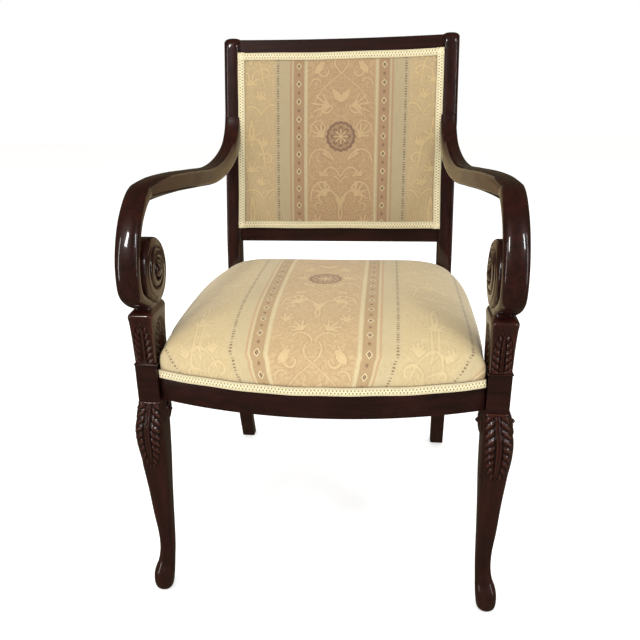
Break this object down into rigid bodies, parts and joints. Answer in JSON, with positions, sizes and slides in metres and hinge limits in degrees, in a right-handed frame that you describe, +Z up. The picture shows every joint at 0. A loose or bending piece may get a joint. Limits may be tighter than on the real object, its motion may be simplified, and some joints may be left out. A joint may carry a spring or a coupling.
{
  "type": "armchair",
  "caption": "Open armchair with carved cabriole front legs, scrolled arms and an upholstered seat and back.",
  "frame": {"origin": "on the floor at the middle of the chair's bounding box", "axes": "+Z up, the sitter faces -Y, +X is on the right seen from the front"},
  "size_m": [0.5816, 0.5996, 0.89],
  "materials": {
    "frame_wood": "dark red-brown hardwood under a high-gloss finish",
    "beech": "bare pale hardwood, unfinished",
    "steel": "plain zinc-plated screws",
    "webbing": "woven jute webbing",
    "hessian": "open hessian",
    "foam": "upholstery padding",
    "seat_fabric": "golden beige damask with narrow stripes",
    "back_fabric": "tan damask with narrow stripes",
    "gimp": "ivory woven braid",
    "lining": "black woven lining"
  },
  "bodies": {
    "root": {"arm_dowel_left": "beech", "arm_dowel_right": "beech", "arm_left": "frame_wood", "arm_right": "frame_wood", "arm_screw_left": "steel", "arm_screw_right": "steel", "arm_support_left": "frame_wood", "arm_support_right": "frame_wood", "back_cover": "back_fabric", "back_foam": "foam", "back_gimp": "gimp", "back_webbing": "webbing", "crest_rail": "frame_wood", "front_block_screw_1_left": "steel", "front_block_screw_1_right": "steel", "front_block_screw_2_left": "steel", "front_block_screw_2_right": "steel", "front_corner_block_left": "beech", "front_corner_block_right": "beech", "front_leg_left": "frame_wood", "front_leg_right": "frame_wood", "front_seat_rail": "frame_wood", "lower_back_rail": "frame_wood", "outside_back_cover": "back_fabric", "outside_back_gimp": "gimp", "rear_block_screw_1_left": "steel", "rear_block_screw_1_right": "steel", "rear_block_screw_2_left": "steel", "rear_block_screw_2_right": "steel", "rear_corner_block_left": "beech", "rear_corner_block_right": "beech", "rear_leg_left": "frame_wood", "rear_leg_right": "frame_wood", "rear_seat_rail": "frame_wood", "screw_plug_left": "frame_wood", "screw_plug_right": "frame_wood", "seat_cover": "seat_fabric", "seat_dust_cover": "lining", "seat_foam": "foam", "seat_gimp_back": "gimp", "seat_gimp_front": "gimp", "seat_gimp_left": "gimp", "seat_gimp_right": "gimp", "seat_hessian": "hessian", "side_seat_rail_left": "frame_wood", "side_seat_rail_right": "frame_wood", "support_dowel_left": "beech", "support_dowel_right": "beech", "webbing_strap_cross_1": "webbing", "webbing_strap_cross_2": "webbing", "webbing_strap_cross_3": "webbing", "webbing_strap_cross_4": "webbing", "webbing_strap_long_1": "webbing", "webbing_strap_long_2": "webbing", "webbing_strap_long_3": "webbing", "webbing_strap_long_4": "webbing"}
  },
  "joints": []
}
